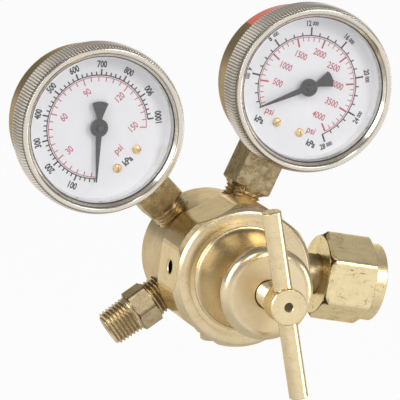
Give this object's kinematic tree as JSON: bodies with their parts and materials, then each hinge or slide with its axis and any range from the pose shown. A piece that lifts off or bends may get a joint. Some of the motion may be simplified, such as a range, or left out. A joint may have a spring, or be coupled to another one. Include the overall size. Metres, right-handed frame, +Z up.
{
  "type": "gas pressure regulator",
  "caption": "Brass gas-cylinder pressure regulator with a hexagonal spring case, tee-bar adjusting screw, round dial gauges, hexagon inlet nut and threaded outlet nipple.",
  "frame": {"origin": "centre of the inlet nut's thread at its open end", "axes": "+X out of the inlet nut, -Y out of the adjusting screw and the gauge dials, +Z up"},
  "size_m": [0.1476, 0.0973, 0.1345],
  "materials": {
    "body_brass": "turned and lightly blasted",
    "case_brass": "turned, satin to bright",
    "handle_brass": "drawn and turned, satin",
    "fitting_brass": "machined, dull olive brass",
    "inner_brass": "machined",
    "spring_steel": "drawn steel wire",
    "plate_steel": "pressed steel",
    "diaphragm_rubber": "matt",
    "ring_plastic": "matt",
    "seat_plastic": "matt",
    "washer_fibre": "matt",
    "filter_bronze": "sintered, matt",
    "gauge_case_brass": "drawn, satin",
    "bezel_plated": "plated, satin with a fine serrated band",
    "window_clear": "clear",
    "spacer_grey": "satin",
    "dial_white": "satin white with printed scales",
    "pointer_grey": "satin dark grey",
    "screw_brass": "turned",
    "tube_bronze": "drawn",
    "movement_brass": "stamped"
  },
  "bodies": {
    "regulator": {"regulator_body": "body_brass", "spring_case": "case_brass", "slip_ring": "ring_plastic", "diaphragm": "diaphragm_rubber", "valve_nozzle": "inner_brass", "valve_seat": "seat_plastic", "pressure_spring": "spring_steel", "poppet_spring": "spring_steel", "inlet_nipple": "fitting_brass", "inlet_filter": "filter_bronze", "inlet_washer": "washer_fibre", "outlet_nipple": "fitting_brass", "relief_body": "fitting_brass", "relief_spring": "spring_steel", "relief_plug": "fitting_brass", "delivery_case": "gauge_case_brass", "delivery_socket": "fitting_brass", "delivery_tube": "tube_bronze", "delivery_tube_tip": "tube_bronze", "delivery_bezel": "bezel_plated", "delivery_window": "window_clear", "delivery_spacer_ring": "spacer_grey", "delivery_dial": "dial_white", "delivery_dial_screws": "screw_brass", "delivery_back_plate": "movement_brass", "delivery_front_plate": "movement_brass", "delivery_pillars": "movement_brass", "contents_case": "gauge_case_brass", "contents_socket": "fitting_brass", "contents_tube": "tube_bronze", "contents_tube_tip": "tube_bronze", "contents_bezel": "bezel_plated", "contents_window": "window_clear", "contents_spacer_ring": "spacer_grey", "contents_dial": "dial_white", "contents_dial_screws": "screw_brass", "contents_back_plate": "movement_brass", "contents_front_plate": "movement_brass", "contents_pillars": "movement_brass"},
    "button": {"spring_button": "plate_steel"},
    "handle": {"adjusting_screw": "handle_brass", "tee_bar": "handle_brass"},
    "valve": {"diaphragm_plate": "plate_steel", "valve_poppet": "inner_brass"},
    "relief_valve": {"relief_poppet": "inner_brass"},
    "nut": {"inlet_nut": "fitting_brass"},
    "delivery_needle": {"delivery_pointer": "pointer_grey", "delivery_pinion": "movement_brass"},
    "delivery_sector_arm": {"delivery_sector": "movement_brass"},
    "delivery_link_arm": {"delivery_link": "movement_brass"},
    "contents_needle": {"contents_pointer": "pointer_grey", "contents_pinion": "movement_brass"},
    "contents_sector_arm": {"contents_sector": "movement_brass"},
    "contents_link_arm": {"contents_link": "movement_brass"}
  },
  "joints": [
    {"name": "screw_travel", "type": "slide", "parent": "regulator", "child": "button", "axis": [0, 1, 0], "range_m": [-0.0015, 0.006], "deforming": ["pressure_spring"]},
    {"name": "handle_turn", "type": "hinge", "parent": "button", "child": "handle", "pos_m": [-0.0605, -0.075, 0], "axis": [0, 1, 0], "range_deg": [-360, 1440]},
    {"name": "valve_lift", "type": "slide", "parent": "regulator", "child": "valve", "axis": [0, 1, 0], "range_m": [0, 0.0008], "stiffness_N_per_m": 500, "springref_m": -0.002, "deforming": ["diaphragm", "poppet_spring"]},
    {"name": "relief_lift", "type": "slide", "parent": "regulator", "child": "relief_valve", "axis": [0.2164, 0, -0.9763], "range_m": [0, 0.001], "stiffness_N_per_m": 40, "springref_m": -0.001, "deforming": ["relief_spring"]},
    {"name": "nut_turn", "type": "hinge", "parent": "regulator", "child": "nut", "pos_m": [0, 0, 0], "axis": [1, 0, 0], "continuous": true},
    {"name": "delivery_needle_turn", "type": "hinge", "parent": "regulator", "child": "delivery_needle", "pos_m": [-0.1167, 0.006, 0.04189], "axis": [0, 1, 0], "range_deg": [0, 270], "stiffness_Nm_per_rad": 0.0002, "springref_deg": -28.65},
    {"name": "delivery_sector_turn", "type": "hinge", "parent": "regulator", "child": "delivery_sector_arm", "pos_m": [-0.1066, 0.006, 0.03436], "axis": [0, 1, 0], "range_deg": [-45, 0]},
    {"name": "delivery_link_turn", "type": "hinge", "parent": "delivery_sector_arm", "child": "delivery_link_arm", "pos_m": [-0.10145, 0.006, 0.03744], "axis": [0, 1, 0], "range_deg": [0, 66]},
    {"name": "contents_needle_turn", "type": "hinge", "parent": "regulator", "child": "contents_needle", "pos_m": [-0.04247, 0.006, 0.06774], "axis": [0, 1, 0], "range_deg": [0, 270], "stiffness_Nm_per_rad": 0.0002, "springref_deg": -28.65},
    {"name": "contents_sector_turn", "type": "hinge", "parent": "regulator", "child": "contents_sector_arm", "pos_m": [-0.04571, 0.006, 0.05557], "axis": [0, 1, 0], "range_deg": [-45, 0]},
    {"name": "contents_link_turn", "type": "hinge", "parent": "contents_sector_arm", "child": "contents_link_arm", "pos_m": [-0.04095, 0.006, 0.05192], "axis": [0, 1, 0], "range_deg": [0, 66]}
  ],
  "couplings": [
    {"joint": "screw_travel", "follows": "handle_turn", "m_per_rad": 0.00023873},
    {"joint": "delivery_sector_turn", "follows": "delivery_needle_turn", "ratio": -0.16667},
    {"joint": "delivery_link_turn", "follows": "delivery_needle_turn", "ratio": 0.24407},
    {"joint": "contents_sector_turn", "follows": "contents_needle_turn", "ratio": -0.16667},
    {"joint": "contents_link_turn", "follows": "contents_needle_turn", "ratio": 0.24407}
  ]
}
